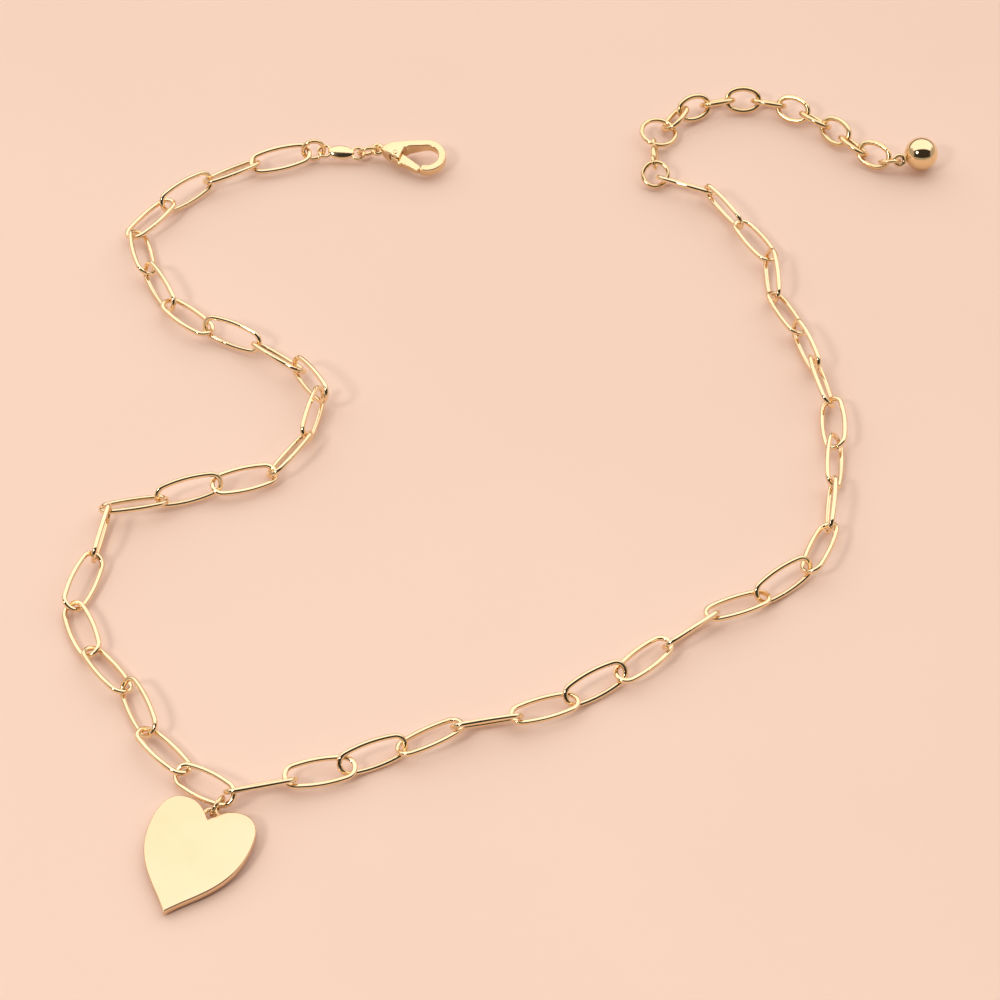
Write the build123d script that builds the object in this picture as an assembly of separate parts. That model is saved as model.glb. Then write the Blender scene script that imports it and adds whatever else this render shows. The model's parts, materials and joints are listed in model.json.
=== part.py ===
from build123d import *

import os
from dataclasses import dataclass
from math import asin, atan2, cos, degrees, radians, sin

import numpy as np

# A pendant necklace of paperclip chain, laid open in loose curves on a flat surface.
# Units are millimetres, +Z is up and the surface is z = 0. +X runs along the lay's short side and +Y
# along its long side, from the pendant towards the two open ends. The origin is on the surface, under
# the middle of the whole necklace.

# ---- Paperclip chain -------------------------------------------------------------------------------
WIRE = 0.9               # round wire of the chain links
LINK_LENGTH = 12.2       # outside length
LINK_WIDTH = 5.2         # outside width at the middle of the slightly bowed sides
LINK_END_RADIUS = 1.8    # centreline radius of each end

# ---- Extender --------------------------------------------------------------------------------------
OVAL_WIRE = 1.0
OVAL_LENGTH = 7.2
OVAL_WIDTH = 5.3
OVAL_END_RADIUS = 1.9
OVALS_PER_NODE = 5
EXTENDER_LINK = "extender_link_"

# ---- Jump rings: outside diameter, wire --------------------------------------------------------------
LEFT_END_RING = (4.8, 0.85)
CLASP_RING = (4.4, 0.75)
RIGHT_END_RING = (5.6, 0.85)
EXTENDER_RING = (7.4, 0.85)
DROP_RING = (4.4, 0.7)
PENDANT_RING = (4.0, 0.7)

# ---- Bean tag ----------------------------------------------------------------------------------------
TAG_BEAN_LENGTH = 5.0
TAG_BEAN_WIDTH = 2.8
TAG_THICKNESS = 1.5
TAG_EYE_DIAMETER = 2.9   # outside
TAG_EYE_WIRE = 0.6
TAG_SPAN = 6.3           # between the centres of its two eyes

# ---- Ball drop -----------------------------------------------------------------------------------------
BALL_DIAMETER = 6.3
BALL_EYE_DIAMETER = 2.6
BALL_EYE_WIRE = 0.75
BALL_STEM = 4.3          # from the centre of the ball to the centre of its eye

# ---- Lobster clasp ---------------------------------------------------------------------------------------
CLASP_EYE_DIAMETER = 2.8
CLASP_EYE_WIRE = 0.8
CLASP_THICKNESS = 2.9
CLASP_WIDTH = 7.2
CLASP_REACH = 13.4       # from the centre of the eye to the far end of the hook
CLASP_NECK = 1.9         # centre of the round neck that joins the eye
CLASP_NECK_RADIUS = 0.95
CLASP_HOOK_WIDTH = 1.3   # across the hook at its far end
CLASP_THROAT = (6.3, 0.6)
CLASP_THROAT_RADIUS = 0.55
CLASP_PROFILE = [(2.4, 1.45), (5.4, 1.45), (8.6, 0.95), (13.4, 0.8)]    # half thickness along it
GATE_GAP = (5.2, 9.3)    # where the hook is open, along the clasp
GATE_LEAN = 1.2          # how far the housing's front edge leans back at the outside
HOOK_LEAN = 0.9          # and the end of the hook, so that the lever's nose clears it
LEVER_THICKNESS = 1.2
LEVER_PIVOT = (3.9, -0.9)
LEVER_HEEL_RADIUS = 1.0
LEVER_TIP_RADIUS = 0.6
LEVER_RIDGE = (5.1, -2.35)
LEVER_RIDGE_RADIUS = 0.5
LEVER_SWING = 28         # degrees that the lever opens
NOSE_CLEARANCE = 0.12
SLOT_WIDTH = 1.8
SLOT_CLEARANCE = 0.2
SLOT_TOP = 1.3           # from the pivot up to the end of the slot
PIN_DIAMETER = 0.8
PIN_CLEARANCE = 0.05
PIN_HEAD = 0.1
SPRING_WIRE = 0.22

# ---- Heart pendant -----------------------------------------------------------------------------------------
HEART_WIDTH = 17.0
HEART_LENGTH = 17.4      # from the cleft to the tip
HEART_CLEFT_DEPTH = 2.8
HEART_CLEFT = 1.0        # from the centre of the eye to the cleft
HEART_CROWN = 4.4        # from the middle to the top of each lobe
HEART_SHOULDER = 2.6     # from the cleft to the widest place
HEART_CLEFT_SLOPE = 0.8
HEART_TIP_SLOPE = 0.8
HEART_THICKNESS = 1.3
HEART_EYE_DIAMETER = 3.1
HEART_EYE_WIRE = 0.7

# ---- How the chain lies ------------------------------------------------------------------------------------
# Each piece is (heading, roll) in degrees. The heading is its long direction seen from above, measured
# from +X and pointing away from the pendant. The roll tips it about that direction: 0 lies flat,
# positive lifts its left side and 90 stands it on edge. A third angle turns the place where a slack
# piece is hooked clockwise round its own first end.
MIDDLE_PLACE = (-50.2, -58)    # of the first end of the middle link
MIDDLE_LINK = (-33, 30)
MIDDLE_LIFT = 1.0        # of its far end, which the pendant's ring passes under
LEFT_LAY = [
    (134, 22), (116, -45), (128, 26), (114, -24), (72, 35), (81, -82), (12, -28), (19, 62),
    (19, 14), (57, -45), (77, 72), (122, -68), (142, 45), (153, -61), (138, 9), (119, -65),
    (104, 38), (51, -14), (41, 63), (33, -30), (16, 22),
]
RIGHT_LAY = [
    (16, -53), (12, 12), (23, 52), (28, -18), (11, -62), (20, -6), (31, 46), (42, -3),
    (38, -64), (23, -14), (36, 50), (67, -30), (82, -79), (83, 52), (90, -32), (101, 55),
    (107, -77), (112, 29), (93, -69), (119, 14), (122, 83), (155, 43),
]
LEFT_END_LAY = {
    "left_end_ring": (10, 80), "left_tag": (-2, 20), "clasp_ring": (14, -60), "clasp_body": (-14, 10),
}
RIGHT_END_LAY = {"right_end_ring": (168, -30), "right_tag": (86, 70), "extender_ring": (62, 8, 26)}
EXTENDER_LAY = [
    (56, -40), (26, 50), (15, -40), (-2, 50), (-15, -40),
    (-29, 50), (-41, -40), (-47, 50), (-51, -40), (-34, 50),
]
DROP_LAY = {"drop_ring": (6, -40), "ball_drop": (13, 45)}
PENDANT_LAY = {"pendant_ring": (-120, 80), "heart_pendant": (-110, 0)}
GAP = 0.18               # air between two wires where they hook
SLACK = {                # the same air at the pieces that hook tighter or looser
    "left_tag": 0.12, "clasp_ring": 0.12, "right_tag": 0.12, "extender_ring": 0.12,
    "link_left_13": 1.1, "link_left_17": 0.8, "link_left_20": 1.0,
    "link_right_11": 0.4, "link_right_15": 1.1, "link_right_17": 0.5, "link_right_18": 1.1,
    "link_right_19": 0.6, "link_right_20": 0.6,
}
DROP = 0.45              # how far a flatter link sinks inside the end of a more upright one
SLIDE_LIMIT = 76         # degrees round an end that a neighbour's wire may slide
SLIDE_STEP = 2
SLIDE_COST = 0.001       # millimetres of height given up for each degree less of slide
HOOK_PASSES = 3
PUSHES = 80              # small steps that may bring two hooked wires clear of each other
PUSH_MARGIN = 0.002
CIRCLE_POINTS = 72
LEG_POINTS = 12
LINK_SWING = 35          # degrees that each piece turns each way in the one before it
SWINGS = {               # the same for the pieces that lie where they have less room
    "link_left_02": (-10, 35), "link_left_04": (-15, 35), "link_left_05": (-15, 30),
    "link_left_06": (-20, 35), "link_left_08": (-35, 25), "link_left_10": (-35, 5),
    "link_left_11": (-10, 35), "link_left_12": (-35, 20), "link_left_13": (-35, 18),
    "link_left_14": (-18, 35), "link_left_16": (-15, 35), "link_left_18": (-30, 35),
    "link_left_19": (-15, 35), "link_left_22": (-8, 35), "left_end_ring": (-30, 35),
    "left_tag": (-20, 35), "clasp_ring": (-35, 15), "link_right_02": (-8, 35),
    "link_right_03": (-12, 5), "link_right_04": (-35, 15), "link_right_05": (-10, 20),
    "link_right_06": (-5, 35), "link_right_07": (-35, 8), "link_right_08": (-35, 3),
    "link_right_09": (-12, 20), "link_right_10": (-10, 35), "link_right_12": (-35, 25),
    "link_right_13": (-8, 35), "link_right_14": (-30, 15), "link_right_15": (-35, 20),
    "link_right_17": (-18, 20), "link_right_20": (-35, 25), "link_right_22": (-35, 3),
    "right_end_ring": (-25, 35), "extender_ring": (-15, 35), "extender_links_inner": (-35, 12),
    "pendant_ring": (-35, 12), "heart_pendant": (-20, 35),
}
TURNS = (1, 1, -1, -1)   # which way each next hinge counts as positive, so that a branch never coils up


@dataclass
class Shape:
    """A kind of piece. In its local frame the centre of its first end is the origin, its second end is
    along +X and its flat side faces +Z."""

    solid: Part
    span: float                 # between the centres of its two ends
    end_radius: float           # centreline radius of the wire at its ends
    wire: float                 # diameter of that wire
    reach: float                # from its long axis to the wire at its side
    depth: float                # from its long axis to its underside when it lies flat
    tip_height: float = None    # height of a far end that nothing hangs on
    one_loop: bool = False      # whether its two ends are parts of one loop of wire


@dataclass
class Lie:
    """A kind of piece, its name and the way it lies."""

    name: str
    shape: Shape
    heading: float
    roll: float
    turn: float = 0

    def rest_height(self):
        """The height of its long axis when it rests on the surface."""
        return self.shape.reach * abs(sin(radians(self.roll))) + self.shape.depth


@dataclass
class Piece:
    """A placed piece: its two ends, its axes, and the hinge that joins it to its parent."""

    name: str
    shape: Shape
    start: Vector
    end: Vector
    along: Vector
    across: Vector
    normal: Vector
    parent: str = None
    hinge_point: Vector = None
    hinge_axis: Vector = None

    def turned_round(self):
        return Piece(
            self.name, self.shape, self.end, self.start, -self.along, -self.across, self.normal
        )

    def place(self):
        return Plane(self.start, x_dir=self.along, z_dir=self.normal).location

    def solid(self):
        return self.place() * self.shape.solid


# ---- Solids ------------------------------------------------------------------------------------------


def bowed_loop(length, width, wire, end_radius):
    """A closed loop of round wire: two round ends joined by two slightly bowed sides."""
    half_length = (length - wire) / 2
    half_width = (width - wire) / 2
    offset = half_length - end_radius
    side_radius = (offset**2 + half_width**2 - end_radius**2) / (2 * (half_width - end_radius))
    turn = atan2(side_radius - half_width, offset)
    x = offset + end_radius * cos(turn)
    y = end_radius * sin(turn)
    path = Wire([
        Edge.make_three_point_arc((x, -y), (half_length, 0), (x, y)),
        Edge.make_three_point_arc((x, y), (0, half_width), (-x, y)),
        Edge.make_three_point_arc((-x, y), (-half_length, 0), (-x, -y)),
        Edge.make_three_point_arc((-x, -y), (0, -half_width), (x, -y)),
    ])
    section = Plane(path @ 0, z_dir=path % 0) * Circle(wire / 2)
    return Pos(offset, 0, 0) * sweep(section, path=path)


def ring(diameter, wire):
    return Torus((diameter - wire) / 2, wire / 2)


def bean_tag():
    """A flattened bean with a round eye at each end."""
    half = Ellipse(TAG_BEAN_LENGTH / 2, TAG_BEAN_WIDTH / 2)
    half &= Pos(0, TAG_BEAN_WIDTH / 2) * Rectangle(TAG_BEAN_LENGTH, TAG_BEAN_WIDTH)
    bean = revolve(half, axis=Axis.X) & Box(TAG_BEAN_LENGTH, TAG_BEAN_WIDTH, TAG_THICKNESS)
    tag = Pos(TAG_SPAN / 2, 0, 0) * bean
    eye = ring(TAG_EYE_DIAMETER, TAG_EYE_WIRE)
    room = Cylinder((TAG_EYE_DIAMETER - TAG_EYE_WIRE) / 2, TAG_THICKNESS)
    for x in (0, TAG_SPAN):
        tag = tag - Pos(x, 0, 0) * room + Pos(x, 0, 0) * eye
    return tag


def ball_drop():
    """A ball on a short stem. The eye of the stem is at the origin."""
    eye = ring(BALL_EYE_DIAMETER, BALL_EYE_WIRE)
    stem_start = (BALL_EYE_DIAMETER - BALL_EYE_WIRE) / 2
    stem = Plane((stem_start, 0, 0), z_dir=(1, 0, 0)) * extrude(
        Circle(BALL_EYE_WIRE / 2), BALL_STEM - stem_start
    )
    return eye + stem + Pos(BALL_STEM, 0, 0) * Sphere(BALL_DIAMETER / 2)


def heart_pendant():
    """A flat heart with a round eye at its cleft. The eye is at the origin and the tip is along +X."""
    cleft = (HEART_CLEFT, 0)
    crown = (HEART_CLEFT - HEART_CLEFT_DEPTH, HEART_CROWN)
    side = (HEART_CLEFT + HEART_SHOULDER, HEART_WIDTH / 2)
    tip = (HEART_CLEFT + HEART_LENGTH, 0)
    lobe = Spline(cleft, crown, side, tangents=[(-1, HEART_CLEFT_SLOPE), (1, 0)])
    flank = Spline(side, tip, tangents=[(1, 0), (1, -HEART_TIP_SLOPE)])
    half = make_face(lobe.edges() + flank.edges() + Line(tip, cleft).edges())
    outline = half + mirror(half, about=Plane.XZ)
    plate = extrude(outline, HEART_THICKNESS / 2, both=True)
    room = Cylinder(HEART_EYE_DIAMETER / 2 - HEART_EYE_WIRE, 2 * HEART_THICKNESS)
    return plate - room + ring(HEART_EYE_DIAMETER, HEART_EYE_WIRE)


def clasp_body():
    """A lobster clasp's hook, its housing with the lever's slot, and its eye at the origin."""
    far = CLASP_REACH - CLASP_WIDTH / 2
    outside = make_hull(
        (Pos(far, 0) * Circle(CLASP_WIDTH / 2)).edges()
        + (Pos(CLASP_NECK, 0) * Circle(CLASP_NECK_RADIUS)).edges()
    )
    inside = make_hull(
        (Pos(far, 0) * Circle(CLASP_WIDTH / 2 - CLASP_HOOK_WIDTH)).edges()
        + (Pos(CLASP_THROAT) * Circle(CLASP_THROAT_RADIUS)).edges()
    )
    gate = Polygon(
        (GATE_GAP[0], CLASP_THROAT[1]),
        (GATE_GAP[1] + HOOK_LEAN, CLASP_THROAT[1]),
        (GATE_GAP[1] - HOOK_LEAN, -CLASP_WIDTH),
        (GATE_GAP[0] - GATE_LEAN, -CLASP_WIDTH),
        align=None,
    )
    body = extrude(outside - inside - gate, CLASP_THICKNESS / 2, both=True)
    rim = [(0, CLASP_EYE_WIRE / 2)] + CLASP_PROFILE
    profile = Plane.XZ * Polygon(*rim, *[(x, -z) for x, z in reversed(rim)], align=None)
    body &= extrude(profile, CLASP_WIDTH, both=True)
    slot = Pos(LEVER_PIVOT[0] - LEVER_HEEL_RADIUS - SLOT_CLEARANCE, LEVER_PIVOT[1] + SLOT_TOP) * Box(
        CLASP_WIDTH, CLASP_WIDTH, SLOT_WIDTH, align=(Align.MIN, Align.MAX, Align.CENTER)
    )
    arm = Pos(GATE_GAP[1], 0, 0) * Box(
        CLASP_REACH, 2 * CLASP_WIDTH, SLOT_WIDTH, align=(Align.MIN, Align.CENTER, Align.CENTER)
    )
    body -= slot - arm
    body -= Pos(*LEVER_PIVOT) * Cylinder(PIN_DIAMETER / 2, CLASP_THICKNESS)
    body -= Cylinder(CLASP_EYE_DIAMETER / 2 - CLASP_EYE_WIRE, CLASP_THICKNESS)
    return body + ring(CLASP_EYE_DIAMETER, CLASP_EYE_WIRE)


def clasp_lever():
    """The gate that closes the hook, with a heel round its pin and a ridge for the thumb."""
    tip = (GATE_GAP[1] - LEVER_TIP_RADIUS - NOSE_CLEARANCE, LEVER_TIP_RADIUS - CLASP_WIDTH / 2)
    heel = Pos(LEVER_PIVOT) * Circle(LEVER_HEEL_RADIUS)
    blade = make_hull(heel.edges() + (Pos(tip) * Circle(LEVER_TIP_RADIUS)).edges())
    ridge = Pos(LEVER_RIDGE) * Circle(LEVER_RIDGE_RADIUS)
    hole = Pos(LEVER_PIVOT) * Circle(PIN_DIAMETER / 2 + PIN_CLEARANCE)
    return extrude(blade + ridge - hole, LEVER_THICKNESS / 2, both=True)


def clasp_pin():
    return Pos(*LEVER_PIVOT) * Cylinder(PIN_DIAMETER / 2, CLASP_THICKNESS + 2 * PIN_HEAD)


def clasp_spring():
    """One turn of thin wire round the pin, beside the lever, with a leg up to the housing."""
    radius = (PIN_DIAMETER + SPRING_WIRE) / 2 + PIN_CLEARANCE
    leg = Pos(-radius, 0, 0) * extrude(Plane.XZ * Circle(SPRING_WIRE / 2), -SLOT_TOP)
    height = (LEVER_THICKNESS + SLOT_WIDTH) / 4
    return Pos(*LEVER_PIVOT, height) * (Torus(radius, SPRING_WIRE / 2) + leg)


# ---- Kinds of piece ----------------------------------------------------------------------------------


def ring_shape(size):
    diameter, wire = size
    radius = (diameter - wire) / 2
    return Shape(ring(diameter, wire), 0, radius, wire, radius, wire / 2, one_loop=True)


def loop_shape(length, width, wire, end_radius):
    return Shape(
        bowed_loop(length, width, wire, end_radius),
        length - wire - 2 * end_radius, end_radius, wire, (width - wire) / 2, wire / 2, one_loop=True,
    )


LINK = loop_shape(LINK_LENGTH, LINK_WIDTH, WIRE, LINK_END_RADIUS)
OVAL = loop_shape(OVAL_LENGTH, OVAL_WIDTH, OVAL_WIRE, OVAL_END_RADIUS)
TAG = Shape(
    bean_tag(), TAG_SPAN, (TAG_EYE_DIAMETER - TAG_EYE_WIRE) / 2, TAG_EYE_WIRE,
    (TAG_BEAN_WIDTH - TAG_THICKNESS) / 2, TAG_THICKNESS / 2,
)
CLASP = Shape(
    clasp_body(), CLASP_REACH - CLASP_WIDTH / 2, (CLASP_EYE_DIAMETER - CLASP_EYE_WIRE) / 2,
    CLASP_EYE_WIRE, (CLASP_WIDTH - CLASP_HOOK_WIDTH) / 2, CLASP_THICKNESS / 2,
)
BALL = Shape(
    ball_drop(), BALL_STEM, (BALL_EYE_DIAMETER - BALL_EYE_WIRE) / 2, BALL_EYE_WIRE,
    (BALL_EYE_DIAMETER - BALL_EYE_WIRE) / 2, BALL_EYE_WIRE / 2, tip_height=BALL_DIAMETER / 2,
)
HEART = Shape(
    heart_pendant(), HEART_CLEFT + HEART_LENGTH, (HEART_EYE_DIAMETER - HEART_EYE_WIRE) / 2,
    HEART_EYE_WIRE, HEART_WIDTH / 2, HEART_THICKNESS / 2, tip_height=HEART_THICKNESS / 2,
)

# ---- Laying the pieces down --------------------------------------------------------------------------


def axes(heading, pitch, roll):
    """The along, across and normal directions of a piece from its three angles in degrees."""
    h, p, r = radians(heading), radians(pitch), radians(roll)
    along = Vector(cos(h) * cos(p), sin(h) * cos(p), sin(p))
    left = Vector(-sin(h), cos(h), 0)
    up = along.cross(left)
    across = left * cos(r) + up * sin(r)
    return along, across, along.cross(across)


def end_heights(lies):
    """Each piece's heights at its two ends: its own, or more where a more upright neighbour lifts it."""
    own = [lie.rest_height() for lie in lies]
    before = [0] + own[:-1]
    after = own[1:] + [0]
    heights = []
    for lie, rest, first, second in zip(lies, own, before, after):
        start = max(rest, first - DROP)
        end = max(rest, second - DROP)
        if lie.shape.tip_height:
            end = lie.shape.tip_height
        if lie.shape.span == 0:
            start = end = max(start, end)
        heights.append((start, end))
    return heights


def posed(lie, start, start_height, end_height):
    """The piece of this lie whose first end is at `start`, seen from above."""
    pitch = 0
    if lie.shape.span:
        pitch = degrees(asin((end_height - start_height) / lie.shape.span))
    along, across, normal = axes(lie.heading, pitch, lie.roll)
    first = Vector(start.X, start.Y, start_height)
    return Piece(lie.name, lie.shape, first, first + along * lie.shape.span, along, across, normal)


def crossing_turns(host, piece):
    """The angles, round the host's far end and the piece's first end, of the line where their planes
    cross."""
    crossing = host.normal.cross(piece.normal).normalized()
    if crossing.dot(host.along + piece.along) < 0:
        crossing = -crossing
    host_turn = atan2(crossing.dot(host.across), crossing.dot(host.along))
    own_turn = atan2(-crossing.dot(piece.across), crossing.dot(piece.along))
    return host_turn, own_turn


def apart(host, piece):
    """The distance between the centrelines of two hooked wires."""
    return (host.shape.wire + piece.shape.wire) / 2 + SLACK.get(piece.name, GAP)


def hook(host, piece, host_turn, own_turn):
    """The step from the host's far end to the piece's first end when their wires cross at these angles,
    and the host's wire there: its place from the end and its direction."""
    on_host = host.along * cos(host_turn) + host.across * sin(host_turn)
    host_tangent = host.across * cos(host_turn) - host.along * sin(host_turn)
    on_piece = piece.across * sin(own_turn) - piece.along * cos(own_turn)
    piece_tangent = piece.along * sin(own_turn) + piece.across * cos(own_turn)
    inward = host_tangent.cross(piece_tangent).normalized()
    if inward.dot(on_host) > 0:
        inward = -inward
    on_host *= host.shape.end_radius
    step = on_host + inward * apart(host, piece) - on_piece * piece.shape.end_radius
    return step, on_host, host_tangent


def wire_points(piece, at_far_end):
    """Points on the centreline of the wire at one end of a piece. A link or a ring is one loop."""
    shape = piece.shape
    turn = np.linspace(0, 2 * np.pi, CIRCLE_POINTS, endpoint=False)
    points = shape.end_radius * np.stack([np.cos(turn), np.sin(turn), 0 * turn], axis=1)
    if shape.one_loop:
        points[:, 0] += np.where(points[:, 0] > 0, shape.span, 0)
        places = np.linspace(0, shape.span, LEG_POINTS)
        legs = [(x, side * shape.end_radius, 0) for x in places for side in (-1, 1)]
        points = np.vstack([points, legs])
    elif at_far_end:
        points[:, 0] += shape.span
    frame = np.array([tuple(axis) for axis in (piece.along, piece.across, piece.normal)])
    return points @ frame + tuple(piece.start)


def push_apart(host, piece):
    """The small step that brings a hooked piece clear of the host's wire all along both curves."""
    host_points = wire_points(host, at_far_end=True)
    own_points = wire_points(piece, at_far_end=False)
    push = np.zeros(3)
    for _ in range(PUSHES):
        gaps = own_points[None] + push - host_points[:, None]
        distances = np.linalg.norm(gaps, axis=2)
        nearest = np.unravel_index(distances.argmin(), distances.shape)
        short = apart(host, piece) - distances[nearest]
        if short < 0:
            break
        push += gaps[nearest] / distances[nearest] * (short + PUSH_MARGIN)
    return Vector(*push)


def hooked_on(lie, host, start_height, end_height):
    """The piece of this lie, hooked in the host's far end. The more upright of the two ends lets the
    other wire slide round it, towards the height that the piece's first end wants."""
    height = start_height
    for _ in range(HOOK_PASSES):
        piece = posed(lie, host.end, height, end_height)
        host_turn, own_turn = crossing_turns(host, piece)
        own_turn += radians(lie.turn)
        host_slides = abs(host.normal.Z) < abs(piece.normal.Z)
        best = None
        for slide in range(-SLIDE_LIMIT, SLIDE_LIMIT + 1, SLIDE_STEP):
            on_host_end = radians(slide) if host_slides else 0
            on_own_end = 0 if host_slides else radians(slide)
            step, on_host, tangent = hook(host, piece, host_turn + on_host_end, own_turn + on_own_end)
            miss = abs(host.end.Z + step.Z - start_height) + SLIDE_COST * abs(slide)
            if best is None or miss < best[0]:
                best = (miss, step, on_host, tangent)
        miss, step, on_host, tangent = best
        height = host.end.Z + step.Z
    piece = posed(lie, host.end + step, height, end_height)
    push = push_apart(host, piece)
    piece.start += push
    piece.end += push
    piece.parent = host.name
    piece.hinge_point = host.end + on_host
    piece.hinge_axis = tangent
    return piece


def chain_from(first, lies):
    """The pieces of a branch, each one hooked in the one before it. `first` is already placed."""
    middle = Lie(first.name, first.shape, 0, MIDDLE_LINK[1])
    heights = end_heights([middle] + lies)
    pieces = []
    host = first
    for lie, (start_height, end_height) in zip(lies, heights[1:]):
        host = hooked_on(lie, host, start_height, end_height)
        pieces.append(host)
    return pieces


def placed():
    """Every placed piece, with the middle link first."""
    middle = Lie("link_left_01", LINK, *MIDDLE_LINK)
    left = [Lie(f"link_left_{i:02d}", LINK, *lay) for i, lay in enumerate(LEFT_LAY, 2)]
    left += [
        Lie(name, shape, *LEFT_END_LAY[name])
        for name, shape in (
            ("left_end_ring", ring_shape(LEFT_END_RING)), ("left_tag", TAG),
            ("clasp_ring", ring_shape(CLASP_RING)), ("clasp_body", CLASP),
        )
    ]
    right = [Lie(f"link_right_{i:02d}", LINK, *lay) for i, lay in enumerate(RIGHT_LAY, 1)]
    right += [
        Lie(name, shape, *RIGHT_END_LAY[name])
        for name, shape in (
            ("right_end_ring", ring_shape(RIGHT_END_RING)), ("right_tag", TAG),
            ("extender_ring", ring_shape(EXTENDER_RING)),
        )
    ]
    right += [Lie(f"{EXTENDER_LINK}{i:02d}", OVAL, *lay) for i, lay in enumerate(EXTENDER_LAY, 1)]
    right += [
        Lie("drop_ring", ring_shape(DROP_RING), *DROP_LAY["drop_ring"]),
        Lie("ball_drop", BALL, *DROP_LAY["ball_drop"]),
    ]
    line = list(reversed(left)) + [middle] + right
    start_height = max(middle.rest_height(), left[0].rest_height() - DROP)
    end_height = max(middle.rest_height() + MIDDLE_LIFT, right[0].rest_height() - DROP)
    root = posed(middle, Vector(*MIDDLE_PLACE), start_height, end_height)
    pendant = [
        Lie("pendant_ring", ring_shape(PENDANT_RING), *PENDANT_LAY["pendant_ring"]),
        Lie("heart_pendant", HEART, *PENDANT_LAY["heart_pendant"]),
    ]
    pieces = [root]
    pieces += chain_from(root.turned_round(), left)
    pieces += chain_from(root, right)
    pieces += chain_from(root, pendant)
    return pieces


# ---- Nodes and joints --------------------------------------------------------------------------------


@dataclass
class Hinge:
    """A joint between two nodes' bodies, with its range in degrees from where the piece lies."""

    parent: str
    child: str
    point: Vector
    axis: Vector
    low: float
    high: float


def node_of(name):
    """The node that a piece is in: its own, or for the extender's links the inner or outer half."""
    if not name.startswith(EXTENDER_LINK):
        return name
    number = int(name.removeprefix(EXTENDER_LINK))
    return "extender_links_inner" if number <= OVALS_PER_NODE else "extender_links_outer"


def nodes(pieces):
    """Every node's solids. The clasp's lever, pin and spring lie in the frame of its body."""
    solids = {}
    for piece in pieces:
        solids.setdefault(node_of(piece.name), []).append(piece.solid())
    place = next(piece for piece in pieces if piece.name == "clasp_body").place()
    solids["clasp_lever"] = [place * clasp_lever()]
    solids["clasp_pin"] = [place * clasp_pin()]
    solids["clasp_spring"] = [place * clasp_spring()]
    return solids


def hinges(pieces):
    """Each piece swings about the wire of the piece that it hangs in, and the lever about its pin."""
    joints = []
    for piece in pieces[1:]:
        parent, child = node_of(piece.parent), node_of(piece.name)
        if parent != child:
            side = TURNS[len(joints) % len(TURNS)]
            low, high = SWINGS.get(child, (-LINK_SWING, LINK_SWING))
            joints.append(Hinge(parent, child, piece.hinge_point, piece.hinge_axis * side, low, high))
    clasp = next(piece for piece in pieces if piece.name == "clasp_body")
    pivot = clasp.start + clasp.along * LEVER_PIVOT[0] + clasp.across * LEVER_PIVOT[1]
    joints.append(Hinge("clasp_body", "clasp_lever", pivot, clasp.normal, 0, LEVER_SWING))
    return joints


def centred(pieces):
    """The pieces with the middle of the necklace over the origin and its lowest point on z = 0."""
    box = Compound(children=[piece.solid() for piece in pieces]).bounding_box()
    middle = box.center()
    shift = Vector(-middle.X, -middle.Y, -box.min.Z)
    for piece in pieces:
        piece.start += shift
        piece.end += shift
        if piece.hinge_point:
            piece.hinge_point += shift
    return pieces


def main():
    os.makedirs("parts", exist_ok=True)
    pieces = centred(placed())
    for name, solids in nodes(pieces).items():
        whole = solids[0] if len(solids) == 1 else Compound(children=solids)
        export_step(whole, f"parts/{name}.step")
    for hinge in hinges(pieces):
        print(hinge.parent, hinge.child, hinge.point, hinge.axis, hinge.low, hinge.high)


if __name__ == "__main__":
    main()
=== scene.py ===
"""A gold-tone paperclip-chain necklace with a heart pendant, laid open on a pale surface.

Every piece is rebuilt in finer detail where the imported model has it. Lengths are in metres.
"""

import json
from math import atan2, cos, exp, pi, radians, sin

import bmesh
import bpy
import numpy as np
from mathutils import Matrix, Vector, noise


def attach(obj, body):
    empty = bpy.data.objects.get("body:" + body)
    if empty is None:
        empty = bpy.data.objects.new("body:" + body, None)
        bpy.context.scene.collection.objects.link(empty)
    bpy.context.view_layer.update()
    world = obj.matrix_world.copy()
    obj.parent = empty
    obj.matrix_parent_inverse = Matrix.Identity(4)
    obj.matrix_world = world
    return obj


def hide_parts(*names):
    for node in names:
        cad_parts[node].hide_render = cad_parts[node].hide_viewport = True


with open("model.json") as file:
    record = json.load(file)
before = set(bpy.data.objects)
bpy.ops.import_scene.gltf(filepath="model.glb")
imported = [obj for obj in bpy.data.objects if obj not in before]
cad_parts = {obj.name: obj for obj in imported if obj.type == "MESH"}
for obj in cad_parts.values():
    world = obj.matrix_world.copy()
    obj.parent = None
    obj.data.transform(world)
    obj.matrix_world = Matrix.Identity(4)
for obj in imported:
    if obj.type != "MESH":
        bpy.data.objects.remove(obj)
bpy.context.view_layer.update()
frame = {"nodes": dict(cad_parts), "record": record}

MM = 0.001

# ---- Sizes of the pieces ---------------------------------------------------------------------------

LINK = {"length": 12.2 * MM, "width": 5.2 * MM, "wire": 0.9 * MM, "end_radius": 1.8 * MM}
OVAL = {"length": 7.2 * MM, "width": 5.3 * MM, "wire": 1.0 * MM, "end_radius": 1.9 * MM}
RINGS = {
    "left_end_ring": (4.8 * MM, 0.85 * MM),
    "clasp_ring": (4.4 * MM, 0.75 * MM),
    "right_end_ring": (5.6 * MM, 0.85 * MM),
    "extender_ring": (7.4 * MM, 0.85 * MM),
    "drop_ring": (4.4 * MM, 0.7 * MM),
    "pendant_ring": (4.0 * MM, 0.7 * MM),
}
WIRE_FLATNESS = 2.4        # 2 is a round wire; more has flatter faces and tighter corners
RING_FLATNESS = 2.1
OVAL_FLATNESS = 2.15
WIRE_SPREAD = 0.98         # a little slim in and across the loop, which keeps the wire's corners clear
WIRE_HEIGHT = 0.97         # of its neighbours at the end of each swing
HAND_FINISH = 0.012        # how much the wire's width wanders, as a share of it

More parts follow.
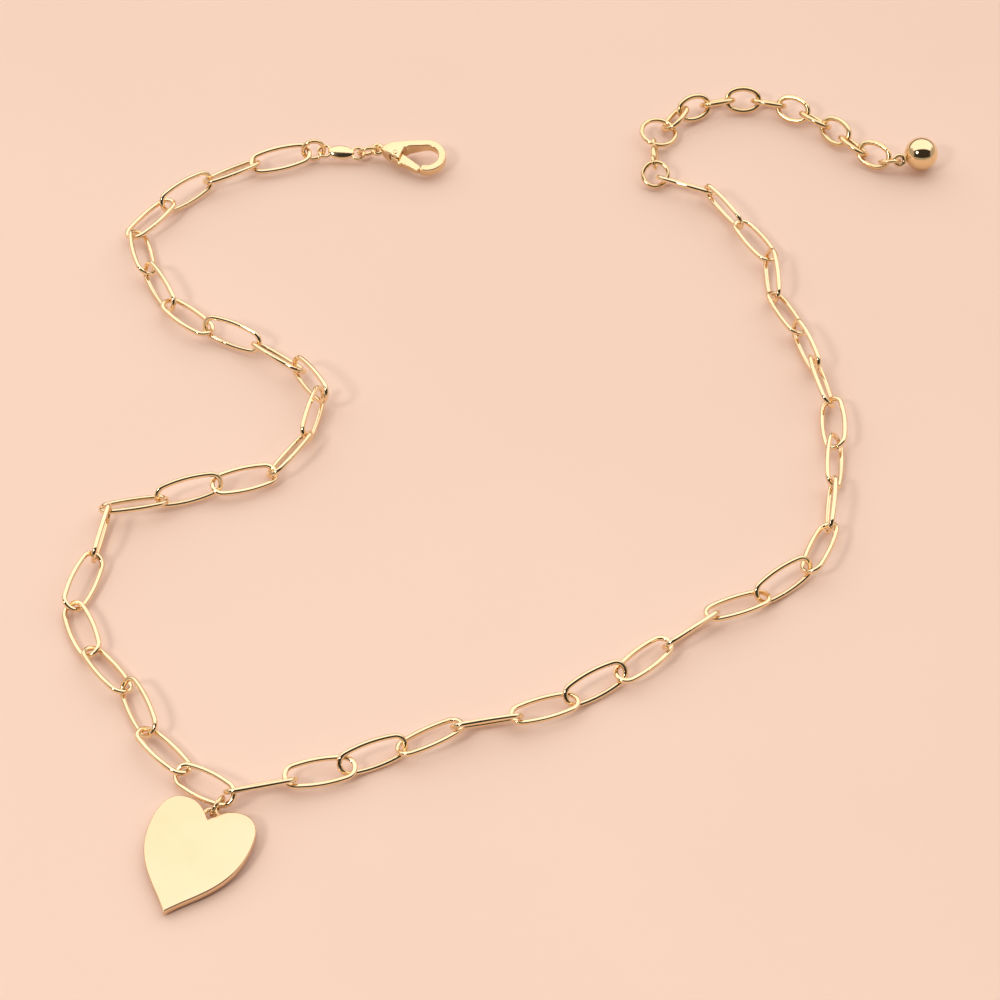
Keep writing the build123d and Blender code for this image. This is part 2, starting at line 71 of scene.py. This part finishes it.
# Where a loop's ends meet, as a share of the way round; how wide the joint is; and how much it stands out,
# as a share of the wire. Soldered joints swell and open ones are pinched.
LINK_SEAM = (0.30, 0.16 * MM, 0.035)
RING_SEAM = (0.37, 0.05 * MM, -0.14)
OVAL_SEAM = (0.25, 0.05 * MM, -0.1)
EYE_SEAM = (0, 0.1 * MM, 0)

TAG_SPAN = 6.3 * MM
TAG_BEAN = (5.0 * MM, 2.8 * MM, 1.5 * MM)
TAG_EYE = (2.9 * MM, 0.6 * MM)
TAG_CROWN = 0.08           # how much lower the bean is at its sides
TAG_FULLNESS = 0.8         # below 1 keeps it thick nearer its ends

BALL_RADIUS = 3.15 * MM
BALL_STEM = 4.3 * MM
BALL_EYE = (2.6 * MM, 0.75 * MM)
BALL_COLLAR = 0.62 * MM
BALL_COLLAR_SWELL = 1.06
BALL_STEM_END, BALL_COLLAR_TOP, BALL_COLLAR_RIM, BALL_COLLAR_FOOT = (
    place * MM for place in (-0.28, -0.2, -0.05, 0.02)      # along the stem, from the ball's skin
)

HEART_WIDTH = 17.0 * MM
HEART_LENGTH = 17.4 * MM
HEART_CLEFT = 1.0 * MM
HEART_CLEFT_DEPTH = 2.8 * MM
HEART_CROWN = 4.4 * MM
HEART_SHOULDER = 2.6 * MM
HEART_LOBE_SLOPES = ((-1.15, 0.92), (2.02, 0))      # of its outline at the cleft and at the side
HEART_FLANK_SLOPES = ((1.365, 0), (0.76, -0.61))    # and from there to the tip
HEART_THICKNESS = 1.3 * MM
HEART_EDGE = 0.3 * MM      # radius of its polished edges
HEART_DISH = 0.02 * MM     # how much its stamped face undulates
HEART_BROAD_WAVES = 5.5 * MM
HEART_FINE_WAVES = 2.2 * MM
HEART_MIDDLE = 0.42        # where its face is centred, as a share of its length
HEART_EYE = (3.1 * MM, 0.7 * MM)
HEART_SOLDER = (           # a drop of solder in the cleft: places from the eye, and radii, in mm
    (0.7, 0), (0.8, 0.3), (1.1, 0.5), (1.5, 0.46), (1.9, 0.3), (2.1, 0)
)

RIVET_DOME = 0.1 * MM

# The size of a casting's finest detail, how often it is smoothed, and what gives back the metal that the
# smoothing takes off. The clasp's body is tumbled rounder than its small parts.
CASTING = (0.06 * MM, 14, 0.03 * MM)
BODY_CASTING = (0.06 * MM, 90, 0.05 * MM)
TAG_CASTING = (0.05 * MM, 8, 0.015 * MM)
SPRING_CASTING = (0.04 * MM, 2, 0.005 * MM)

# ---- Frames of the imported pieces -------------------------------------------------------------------

record = frame["record"]
body_of = {node: body for body, nodes in record["behaviour"]["bodies"].items() for node in nodes}
slot_of = {part["node"]: part["material_slot"] for part in record["subparts"]}


def triangles_of(mesh):
    """The corners of a mesh's triangles, as an array of n x 3 x 3."""
    mesh.calc_loop_triangles()
    points = np.empty(len(mesh.vertices) * 3)
    mesh.vertices.foreach_get("co", points)
    corners = np.empty(len(mesh.loop_triangles) * 3, dtype=np.int32)
    mesh.loop_triangles.foreach_get("vertices", corners)
    return points.reshape(-1, 3)[corners.reshape(-1, 3)]


def separate_triangles(triangles):
    """The same triangles in one array for each loose part of the surface."""
    keys = np.round(triangles.reshape(-1, 3) / (0.0005 * MM)).astype(np.int64)
    corner = np.unique(keys, axis=0, return_inverse=True)[1].reshape(-1, 3)
    part = np.arange(corner.max() + 1)
    while True:
        lowest = part[corner].min(axis=1)
        joined = part.copy()
        for column in range(3):
            np.minimum.at(joined, corner[:, column], lowest)
        joined = joined[joined]
        if (joined == part).all():
            break
        part = joined
    labels = part[corner[:, 0]]
    return [triangles[labels == label] for label in np.unique(labels)]


def main_frame(triangles):
    """The middle of a surface and its longest, middle and thinnest directions, as a matrix."""
    edges = triangles[:, 1:] - triangles[:, :1]
    areas = np.linalg.norm(np.cross(edges[:, 0], edges[:, 1]), axis=1) / 2
    middle = (areas[:, None] * triangles.mean(axis=1)).sum(axis=0) / areas.sum()
    corners = triangles - middle
    total = corners.sum(axis=1)
    spread = np.einsum("n,nij,nik->jk", areas, corners, corners)
    spread += np.einsum("n,nj,nk->jk", areas, total, total)
    axes = np.linalg.eigh(spread)[1]
    longest, thinnest = Vector(axes[:, 2]), Vector(axes[:, 0])
    if thinnest.z < 0:
        thinnest.negate()
    return matrix_from(Vector(middle), longest, thinnest)


def matrix_from(origin, along, normal):
    across = normal.cross(along).normalized()
    along = across.cross(normal).normalized()
    turn = Matrix((along, across, normal.normalized())).transposed().to_4x4()
    return Matrix.Translation(origin) @ turn


def node_frame(node):
    return main_frame(triangles_of(frame["nodes"][node].data))


def frame_from_eye(node, reach, eye_is_far=False):
    """A frame at a piece's eye, with X towards its other end, reach away. One of the two ends is the
    farthest from the piece's middle."""
    triangles = triangles_of(frame["nodes"][node].data)
    pose = main_frame(triangles)
    points = triangles.reshape(-1, 3)
    offsets = points - np.array(pose.translation)
    far = offsets[np.argmax((offsets**2).sum(axis=1))]
    along, normal = pose.col[0].to_3d(), pose.col[2].to_3d()
    if (along.dot(Vector(far)) < 0) != eye_is_far:
        along = -along
    other_end = pose.translation + along * float((offsets @ np.array(along)).max())
    return matrix_from(other_end - along * reach, along, normal)


# ---- Building meshes -------------------------------------------------------------------------------


def add_object(name, data):
    thing = bpy.data.objects.new(name, data)
    bpy.context.collection.objects.link(thing)
    return thing


def new_piece(name, points, faces):
    mesh = bpy.data.meshes.new(name)
    mesh.from_pydata([tuple(point) for point in points], [], faces)
    mesh.shade_smooth()
    return add_object(name, mesh)


def joined(name, *pieces):
    """One object made of several, which are used up."""
    whole = bmesh.new()
    for piece in pieces:
        whole.from_mesh(piece.data)
        bpy.data.objects.remove(piece)
    mesh = bpy.data.meshes.new(name)
    whole.to_mesh(mesh)
    whole.free()
    mesh.shade_smooth()
    return add_object(name, mesh)


def loop_arcs(length, width, wire, end_radius):
    """The four arcs of a loop's centreline: centre, radius, start angle and sweep of each."""
    half_length, half_width = (length - wire) / 2, (width - wire) / 2
    offset = half_length - end_radius
    side_radius = (offset**2 + half_width**2 - end_radius**2) / (2 * (half_width - end_radius))
    turn = atan2(side_radius - half_width, offset)
    middle = side_radius - half_width
    return [
        ((offset, 0), end_radius, -turn, 2 * turn),
        ((0, -middle), side_radius, turn, pi - 2 * turn),
        ((-offset, 0), end_radius, pi - turn, 2 * turn),
        ((0, middle), side_radius, pi + turn, pi - 2 * turn),
    ]


def at_distance(arcs, distance):
    """The point at a distance round a loop, and the way out from there."""
    for (x, y), radius, start, sweep in arcs:
        if distance <= radius * sweep:
            break
        distance -= radius * sweep
    angle = start + distance / radius
    outward = Vector((cos(angle), sin(angle), 0))
    return Vector((x, y, 0)) + outward * radius, outward


def wire_section(flatness, corners=18):
    """Points round a wire of width 2, from round to nearly square."""
    section = []
    for i in range(corners):
        angle = 2 * pi * (i + 0.5) / corners
        across = abs(cos(angle)) ** (2 / flatness) * (1 if cos(angle) > 0 else -1)
        up = abs(sin(angle)) ** (2 / flatness) * (1 if sin(angle) > 0 else -1)
        section.append((across, up))
    return section


def swept_loop(name, arcs, wire, seed, seam, flatness=2.0, spread=1.0, height=1.0, steps=84):
    """A closed loop of wire, with stations set closer together round its seam."""
    around = sum(radius * sweep for _, radius, _, sweep in arcs)
    place, breadth, rise = seam
    centre = place * around
    stations = {around * i / steps for i in range(steps)}
    stations |= {(centre + breadth * k / 2) % around for k in (-3, -2, -1, -0.5, 0, 0.5, 1, 2, 3)}
    section = wire_section(flatness)
    points = []
    for distance in sorted(stations):
        middle, outward = at_distance(arcs, distance)
        away = min(abs(distance - centre), around - abs(distance - centre))
        wander = noise.noise(Vector((outward.x * 1.3, outward.y * 1.3, seed)))
        joint = rise * exp(-((away / breadth) ** 2))
        girth = wire / 2 * (1 + HAND_FINISH * wander + joint)
        unevenness = noise.noise(middle / MM + Vector((0, 0, seed)))
        lift = Vector((0, 0, 0.25 * HAND_FINISH * wire * unevenness))
        for across, up in section:
            side, level = across * girth * spread, up * girth * height
            points.append(middle + lift + outward * side + Vector((0, 0, level)))
    return new_piece(name, points, ring_faces(len(stations), len(section), closed=True))


def ring_faces(rings, corners, closed=False):
    faces = []
    for i in range(rings if closed else rings - 1):
        near, far = i * corners, (i + 1) % rings * corners
        for j in range(corners):
            k = (j + 1) % corners
            faces.append((near + j, far + j, far + k, near + k))
    return faces


def closed_faces(rings, corners):
    """Faces of a skin of rings between two end points, which are its first and last points."""
    faces = [tuple(v + 1 for v in face) for face in ring_faces(rings, corners)]
    last = 1 + (rings - 1) * corners
    end = last + corners
    for j in range(corners):
        k = (j + 1) % corners
        faces.append((0, 1 + j, 1 + k))
        faces.append((end, last + k, last + j))
    return faces


def lathed(name, profile, corners):
    """A solid turned about X from (x, radius) points, closed by a point at each end."""
    points = [Vector((profile[0][0], 0, 0))]
    for x, radius in profile[1:-1]:
        for j in range(corners):
            angle = 2 * pi * j / corners
            points.append(Vector((x, radius * cos(angle), radius * sin(angle))))
    points.append(Vector((profile[-1][0], 0, 0)))
    return new_piece(name, points, closed_faces(len(profile) - 2, corners))


def eye(name, size, x=0):
    """A round eye of wire in the XY plane, with its centre on X."""
    diameter, wire = size
    arcs = [((x, 0), (diameter - wire) / 2, 0, 2 * pi)]
    return swept_loop(name, arcs, wire, x / MM, EYE_SEAM, steps=48)


def cast(piece, casting=CASTING):
    """Fuses a piece's parts into one smooth skin, as casting and tumbling leave them."""
    voxel, smoothing, growth = casting
    remesh = piece.modifiers.new("fuse", "REMESH")
    remesh.mode = "VOXEL"
    remesh.voxel_size = voxel
    smooth = piece.modifiers.new("tumble", "SMOOTH")
    smooth.factor = 0.5
    smooth.iterations = smoothing
    bpy.context.view_layer.update()
    graph = bpy.context.evaluated_depsgraph_get()
    shape = bpy.data.meshes.new_from_object(piece.evaluated_get(graph))
    piece.modifiers.clear()
    piece.data = shape
    normals = [vertex.normal.copy() for vertex in shape.vertices]
    for vertex, normal in zip(shape.vertices, normals):
        vertex.co += normal * growth
    shape.shade_smooth()
    return piece


def copy_of(node, name):
    piece = add_object(name, frame["nodes"][node].data.copy())
    piece.data.materials.clear()
    return piece


def place(piece, pose):
    piece.data.transform(pose)
    piece.data.update()
    return piece


# ---- The kinds of piece ----------------------------------------------------------------------------


def chain_link(node, seed):
    wire = swept_loop(
        node + "_wire", loop_arcs(**LINK), LINK["wire"], seed, LINK_SEAM,
        WIRE_FLATNESS, WIRE_SPREAD, WIRE_HEIGHT,
    )
    return place(wire, node_frame(node))


def jump_ring(node, seed):
    diameter, wire = RINGS[node]
    arcs = [((0, 0), (diameter - wire) / 2, 0, 2 * pi)]
    ring = swept_loop(node + "_wire", arcs, wire, seed, RING_SEAM, RING_FLATNESS, steps=64)
    return place(ring, node_frame(node))


def oval_links(node, seed):
    parts = separate_triangles(triangles_of(frame["nodes"][node].data))
    pieces = []
    for i, part in enumerate(parts):
        piece = swept_loop(
            f"{node}_{i}", loop_arcs(**OVAL), OVAL["wire"], seed + i, OVAL_SEAM, OVAL_FLATNESS, steps=64
        )
        pieces.append(place(piece, main_frame(part)))
    return joined(node + "_wire", *pieces)


def bean_tag(node):
    """A crowned bean that flows into an eye at each end."""
    length, width, thickness = TAG_BEAN
    rings, corners = 36, 28
    points = [Vector((-length / 2, 0, 0))]
    for i in range(1, rings):
        along = -cos(pi * i / rings)
        swell = (1 - along**2) ** 0.5
        for j in range(corners):
            angle = 2 * pi * j / corners
            crown = 1 - TAG_CROWN * cos(angle) ** 2
            points.append(Vector((
                along * length / 2,
                cos(angle) * swell * width / 2,
                sin(angle) * swell**TAG_FULLNESS * crown * thickness / 2,
            )))
    points.append(Vector((length / 2, 0, 0)))
    bean = new_piece("bean", points, closed_faces(rings - 1, corners))
    eyes = [eye(f"eye_{side}", TAG_EYE, side * TAG_SPAN / 2) for side in (-1, 1)]
    return place(cast(joined(node + "_bean", bean, *eyes), TAG_CASTING), node_frame(node))


def ball_drop(node):
    """A mirror-bright ball with a collar, a short stem and an eye."""
    stem = BALL_EYE[1] / 2
    start = BALL_STEM - (BALL_RADIUS**2 - BALL_COLLAR**2) ** 0.5
    root = (BALL_EYE[0] - BALL_EYE[1]) / 2 - 0.2 * stem
    profile = [
        (root, 0),
        (root, stem),
        (start + BALL_STEM_END, stem),
        (start + BALL_COLLAR_TOP, BALL_COLLAR),
        (start + BALL_COLLAR_RIM, BALL_COLLAR_SWELL * BALL_COLLAR),
        (start + BALL_COLLAR_FOOT, BALL_COLLAR),
    ]
    turns = 64
    first = atan2(BALL_COLLAR, BALL_STEM - start)
    for i in range(turns):
        angle = first + (pi - first) * i / turns
        profile.append((BALL_STEM - BALL_RADIUS * cos(angle), BALL_RADIUS * sin(angle)))
    profile.append((BALL_STEM + BALL_RADIUS, 0))
    ball = joined(node + "_bead", lathed("ball", profile, 72), eye("ball_eye", BALL_EYE))
    return place(ball, frame_from_eye(node, BALL_STEM + BALL_RADIUS, eye_is_far=True))


def spline(points, slopes, steps):
    """Points of a smooth curve through two or three points, without the last one. slopes are its
    directions at the two ends, per length of chord."""
    chords = [(after - before).length for before, after in zip(points, points[1:])]
    first, last = (Vector(slope) for slope in slopes)
    knots = [first, last]
    if len(points) == 3:
        before, after = chords
        pull = 3 * ((points[1] - points[0]) / before**2 + (points[2] - points[1]) / after**2)
        knots.insert(1, (pull - first / before - last / after) / (2 / before + 2 / after))
    curve = []
    for i, chord in enumerate(chords):
        for k in range(steps):
            t = k / steps
            curve.append(
                points[i] * (2 * t**3 - 3 * t**2 + 1) + knots[i] * chord * (t**3 - 2 * t**2 + t)
                + points[i + 1] * (3 * t**2 - 2 * t**3) + knots[i + 1] * chord * (t**3 - t**2)
            )
    return curve


def heart_outline():
    """The outline from the cleft round one lobe to the tip, and back round the other."""
    cleft = Vector((HEART_CLEFT, 0))
    crown = Vector((HEART_CLEFT - HEART_CLEFT_DEPTH, HEART_CROWN))
    side = Vector((HEART_CLEFT + HEART_SHOULDER, HEART_WIDTH / 2))
    tip = Vector((HEART_CLEFT + HEART_LENGTH, 0))
    half = spline([cleft, crown, side], HEART_LOBE_SLOPES, 22)
    half += spline([side, tip], HEART_FLANK_SLOPES, 40)
    half.append(tip)
    return half + [Vector((x, -y)) for x, y in reversed(half[1:-1])]


def heart_pendant(node):
    """A stamped plate with softly rounded edges and an eye soldered in its cleft."""
    outline = heart_outline()
    count = len(outline)
    outward = []
    for i in range(count):
        tangent = (outline[(i + 1) % count] - outline[i - 1]).normalized()
        outward.append(Vector((-tangent.y, tangent.x)))
    if outward[count // 4].y < 0:
        outward = [-way for way in outward]
    middle = Vector((HEART_CLEFT + HEART_MIDDLE * HEART_LENGTH, 0))
    half = HEART_THICKNESS / 2
    quarter = [pi / 2 * k / 6 for k in range(7)]
    rims = [(sin(a), cos(a) * HEART_EDGE + half - HEART_EDGE) for a in quarter]
    rims += [(share, -z) for share, z in reversed(rims)]
    spans = [k / 14 for k in range(1, 15)]
    rings = [(share, 0, 1) for share in spans[:-1]]
    rings += [(1, share, z / half) for share, z in rims]
    rings += [(share, 0, -1) for share in reversed(spans[:-1])]
    points = []
    for share, bulge, level in rings:
        for edge, way in zip(outline, outward):
            inner = edge - way * HEART_EDGE * (1 - bulge)
            flat = middle + (inner - middle) * share
            dish = noise.noise(Vector((flat.x, flat.y, 0)) / HEART_BROAD_WAVES)
            dish += 0.35 * noise.noise(Vector((flat.x, flat.y, 7 * MM)) / HEART_FINE_WAVES)
            z = level * half - HEART_DISH * (1 + dish) * abs(level)
            points.append(Vector((flat.x, flat.y, z)))
    faces = ring_faces(len(rings), count)
    top, bottom = len(points), len(points) + 1
    points += [Vector((middle.x, 0, half - HEART_DISH)), Vector((middle.x, 0, HEART_DISH - half))]
    last = (len(rings) - 1) * count
    for j in range(count):
        k = (j + 1) % count
        faces.append((top, j, k))
        faces.append((bottom, last + k, last + j))
    plate = new_piece("plate", points, faces)
    solder = lathed("solder", [(x * MM, radius * MM) for x, radius in HEART_SOLDER], 20)
    heart = joined(node + "_plate", plate, eye("heart_eye", HEART_EYE), solder)
    return place(heart, frame_from_eye(node, HEART_CLEFT + HEART_LENGTH))


def hinge_pin(node):
    """A rivet with domed heads."""
    pose = node_frame(node)
    corners = triangles_of(frame["nodes"][node].data).reshape(-1, 3) - np.array(pose.translation)
    axis = np.array(pose.col[0].to_3d())
    along = corners @ axis
    half = float(abs(along).max())
    radius = float(np.linalg.norm(corners - np.outer(along, axis), axis=1).max())
    domed = [(half - RIVET_DOME * (1 - cos(a)), radius * sin(a)) for a in (pi / 2, 1.0, 0.5)]
    domed.append((half, 0))
    profile = [(-x, r) for x, r in reversed(domed)] + domed
    return place(lathed(node + "_rivet", profile, 28), pose)


# ---- Materials -------------------------------------------------------------------------------------


def set_stops(ramp, stops):
    """Sets the (position, colour) stops of a colour ramp, which are given in order."""
    elements = ramp.color_ramp.elements
    elements[0].position, elements[0].color = stops[0][0], (*stops[0][1], 1)
    elements[1].position, elements[1].color = stops[-1][0], (*stops[-1][1], 1)
    for position, colour in stops[1:-1]:
        elements.new(position).color = (*colour, 1)


class Nodes:
    """A short way to write a material's nodes."""

    def __init__(self, name):
        self.material = bpy.data.materials.new(name)
        self.material.use_nodes = True
        self.tree = self.material.node_tree
        self.shader = self.tree.nodes["Principled BSDF"]
        self.place = self.add("ShaderNodeTexCoord").outputs["Object"]

    def add(self, kind, **values):
        node = self.tree.nodes.new(kind)
        for name, value in values.items():
            if hasattr(node, name):
                setattr(node, name, value)
            else:
                node.inputs[name.replace("_", " ").title()].default_value = value
        return node

    def link(self, output, node, socket):
        self.tree.links.new(output, node.inputs[socket])

    def noise(self, size, detail=3.0, stretch=None):
        """Noise whose features are about size metres across."""
        source = self.place
        if stretch:
            mapping = self.add("ShaderNodeMapping")
            mapping.inputs["Scale"].default_value = stretch
            self.link(source, mapping, "Vector")
            source = mapping.outputs["Vector"]
        texture = self.add("ShaderNodeTexNoise", scale=1 / size, detail=detail, roughness=0.55)
        self.link(source, texture, "Vector")
        return texture.outputs["Fac"]

    def ramp(self, value, *stops):
        ramp = self.add("ShaderNodeValToRGB")
        set_stops(ramp, stops)
        self.link(value, ramp, "Fac")
        return ramp.outputs["Color"]

    def range(self, value, low, high, start=0.3, end=0.7):
        mapped = self.add("ShaderNodeMapRange")
        limits = {"From Min": start, "From Max": end, "To Min": low, "To Max": high}
        for socket, number in limits.items():
            mapped.inputs[socket].default_value = number
        self.link(value, mapped, "Value")
        return mapped.outputs["Result"]

    def bump(self, height, depth, strength=1.0, below=None):
        node = self.add("ShaderNodeBump")
        node.inputs["Distance"].default_value = depth
        node.inputs["Strength"].default_value = strength
        self.link(height, node, "Height")
        if below:
            self.link(below, node, "Normal")
        return node.outputs["Normal"]


def plated_metal(name, pale, deep, roughness, ripple=1.0, scratches=0.5, tone_size=6 * MM):
    """Plated metal: its tone drifts a little, with fine polishing marks and a slightly uneven surface."""
    nodes = Nodes(name)
    middle = tuple((a + b) / 2 for a, b in zip(pale, deep))
    tone = nodes.ramp(nodes.noise(tone_size, 4), (0.28, deep), (0.5, middle), (0.72, pale))
    nodes.link(tone, nodes.shader, "Base Color")
    nodes.shader.inputs["Metallic"].default_value = 1.0
    low, high = roughness
    nodes.link(nodes.range(nodes.noise(0.9 * MM, 5), low, high), nodes.shader, "Roughness")
    waves = nodes.bump(nodes.noise(1.6 * MM, 2), 0.004 * MM * ripple)
    grain = nodes.noise(0.12 * MM, 4, (1, 0.25, 1))
    marks = nodes.bump(grain, 0.0012 * MM * scratches, 1.0, waves)
    nodes.link(marks, nodes.shader, "Normal")
    return nodes.material


def surface_material():
    """Smooth matt card with a faint mottle."""
    nodes = Nodes("card")
    tone = nodes.ramp(
        nodes.noise(0.09, 3), (0.25, (0.93, 0.675, 0.545)), (0.75, (0.955, 0.70, 0.57))
    )
    nodes.link(tone, nodes.shader, "Base Color")
    nodes.link(nodes.range(nodes.noise(2 * MM, 4), 0.62, 0.75), nodes.shader, "Roughness")
    nodes.link(nodes.bump(nodes.noise(0.5 * MM, 5), 0.01 * MM, 0.4), nodes.shader, "Normal")
    nodes.shader.inputs["Specular IOR Level"].default_value = 0.25
    return nodes.material


# Pale and deep tones, the range of roughness, and where it differs: ripple, scratches and tone size.
METALS = {
    "chain_gold": ((0.95, 0.76, 0.50), (0.90, 0.68, 0.41), (0.04, 0.09)),
    "ring_gold": ((0.92, 0.70, 0.41), (0.84, 0.60, 0.32), (0.10, 0.18)),
    "extender_gold": ((0.92, 0.70, 0.41), (0.84, 0.60, 0.32), (0.14, 0.24)),
    "tag_gold": ((0.92, 0.72, 0.44), (0.86, 0.64, 0.35), (0.12, 0.20), 0.6),
    "ball_gold": ((0.90, 0.70, 0.44), (0.85, 0.64, 0.37), (0.05, 0.10), 0.25, 0.2),
    "heart_gold": ((0.88, 0.66, 0.43), (0.84, 0.60, 0.36), (0.16, 0.22), 0.2, 0.3, 14 * MM),
    "clasp_gold": ((0.90, 0.70, 0.43), (0.84, 0.62, 0.34), (0.14, 0.22)),
    "spring_steel": ((0.72, 0.70, 0.66), (0.52, 0.50, 0.47), (0.2, 0.35)),
}
materials = {slot: plated_metal(slot, *finish) for slot, finish in METALS.items()}


# ---- The necklace ----------------------------------------------------------------------------------


def dress(piece, node):
    """Gives a piece its material, body and slot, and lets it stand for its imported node."""
    slot = slot_of[node]
    piece.data.materials.clear()
    piece.data.materials.append(materials[slot])
    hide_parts(node)
    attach(piece, body_of[node])


def build(node, seed):
    """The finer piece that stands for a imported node."""
    if node.startswith("link_"):
        return chain_link(node, seed)
    if node in RINGS:
        return jump_ring(node, seed)
    if node.startswith("extender_links"):
        return oval_links(node, seed)
    if node.endswith("_tag"):
        return bean_tag(node)
    if node == "ball_drop":
        return ball_drop(node)
    if node == "heart_pendant":
        return heart_pendant(node)
    if node == "clasp_pin":
        return hinge_pin(node)
    if node == "clasp_spring":
        return cast(copy_of(node, "clasp_spring_wire"), SPRING_CASTING)
    if node == "clasp_body":
        return cast(copy_of(node, "clasp_casting"), BODY_CASTING)
    return cast(copy_of(node, node + "_casting"))


for index, node in enumerate(sorted(frame["nodes"])):
    dress(build(node, 1.7 * index + 0.3), node)

# ---- Surface, light and camera ---------------------------------------------------------------------

AIM = Vector((-5.16, -8.86, 0.41)) * MM
DISTANCE = 489.85 * MM
ELEVATION = radians(50.513)
FIELD_OF_VIEW = radians(20)
ROLL = radians(-0.174)
FLOOR_SIZE = 3.0
FLOOR_STEPS = 24

KEY_DIRECTION = (218, 45)  # azimuth and elevation in degrees, azimuth 0 being +X
KEY_DISTANCE = 1.2
KEY_SIDE = 0.21
KEY_POWER = 3.0
KEY_COLOUR = (1.0, 0.97, 0.93)

TENT = (1.0, 0.97, 0.94)
WALL = (0.36, 0.31, 0.26)
HORIZON = (0.14, 0.11, 0.08)
GAP = (0.03, 0.026, 0.022)
SKY_STRENGTH = 1.43
OVERHEAD = (               # from the front horizon, 0, over the top to the back one, 1
    (0.00, WALL), (0.06, WALL), (0.09, GAP), (0.41, GAP), (0.45, TENT), (0.90, TENT), (0.93, HORIZON),
)
BLACK, WHITE = (0, 0, 0), (1, 1, 1)
BETWEEN_WALLS = ((0.05, BLACK), (0.10, WHITE), (0.90, WHITE), (0.95, BLACK))


def floor():
    places = [FLOOR_SIZE * (i / FLOOR_STEPS - 0.5) for i in range(FLOOR_STEPS + 1)]
    points = [Vector((x, y, 0)) for x in places for y in places]
    faces = []
    for i in range(FLOOR_STEPS):
        for j in range(FLOOR_STEPS):
            near, far = i * len(places) + j, (i + 1) * len(places) + j
            faces.append((near, far, far + 1, near + 1))
    piece = new_piece("floor", points, faces)
    piece.data.materials.append(surface_material())


def key_light():
    """A square soft light that faces the necklace."""
    azimuth, elevation = (radians(angle) for angle in KEY_DIRECTION)
    way = Vector((cos(azimuth) * cos(elevation), sin(azimuth) * cos(elevation), sin(elevation)))
    light = bpy.data.lights.new("key", "AREA")
    light.shape = "RECTANGLE"
    light.size = light.size_y = KEY_SIDE
    light.energy = KEY_POWER
    light.color = KEY_COLOUR
    lamp = add_object("key", light)
    lamp.location = AIM + way * KEY_DISTANCE
    lamp.rotation_euler = way.to_track_quat("Z", "Y").to_euler()


class Sky:
    """A short way to write the world's nodes."""

    def __init__(self):
        world = bpy.data.worlds.new("studio")
        bpy.context.scene.world = world
        world.use_nodes = True
        self.tree = world.node_tree
        self.background = self.tree.nodes["Background"]

    def node(self, kind, *sources, **values):
        node = self.tree.nodes.new(kind)
        for name, value in values.items():
            setattr(node, name, value)
        for socket, source in enumerate(sources):
            if isinstance(source, bpy.types.NodeSocket):
                self.tree.links.new(source, node.inputs[socket])
            elif source is not None:
                node.inputs[socket].default_value = source
        return node

    def ramp(self, value, stops):
        ramp = self.node("ShaderNodeValToRGB", value)
        set_stops(ramp, stops)
        return ramp.outputs["Color"]


def studio_sky():
    """A broad bright tent overhead, a dark gap in front, and tan walls."""
    sky = Sky()
    place = sky.node("ShaderNodeTexCoord").outputs["Generated"]
    split = sky.node("ShaderNodeSeparateXYZ", place)
    front = sky.node("ShaderNodeMath", split.outputs["Y"], -1.0, operation="MULTIPLY").outputs[0]
    angle = sky.node("ShaderNodeMath", split.outputs["Z"], front, operation="ARCTAN2").outputs[0]
    turn = sky.node("ShaderNodeMath", angle, pi, operation="DIVIDE").outputs[0]
    overhead = sky.ramp(turn, OVERHEAD)
    across = sky.node("ShaderNodeMapRange", split.outputs["X"], -1.0, 1.0).outputs[0]
    inside = sky.ramp(across, BETWEEN_WALLS)
    mix = sky.node("ShaderNodeMix", data_type="RGBA")
    sky.tree.links.new(inside, mix.inputs["Factor"])
    mix.inputs["A"].default_value = (*WALL, 1)
    sky.tree.links.new(overhead, mix.inputs["B"])
    sky.tree.links.new(mix.outputs["Result"], sky.background.inputs["Color"])
    sky.background.inputs["Strength"].default_value = SKY_STRENGTH


def camera():
    lens = bpy.data.cameras.new("camera")
    lens.angle = FIELD_OF_VIEW
    lens.clip_start, lens.clip_end = 0.01, 10
    viewer = add_object("camera", lens)
    tilt = Matrix.Rotation(pi / 2 - ELEVATION, 4, "X") @ Matrix.Rotation(ROLL, 4, "Z")
    back = Vector((0, -cos(ELEVATION), sin(ELEVATION))) * DISTANCE
    viewer.matrix_world = Matrix.Translation(AIM + back) @ tilt
    bpy.context.scene.camera = viewer


floor()
studio_sky()
key_light()
camera()
bpy.context.scene.view_settings.view_transform = "Standard"
bpy.context.scene.view_settings.look = "None"
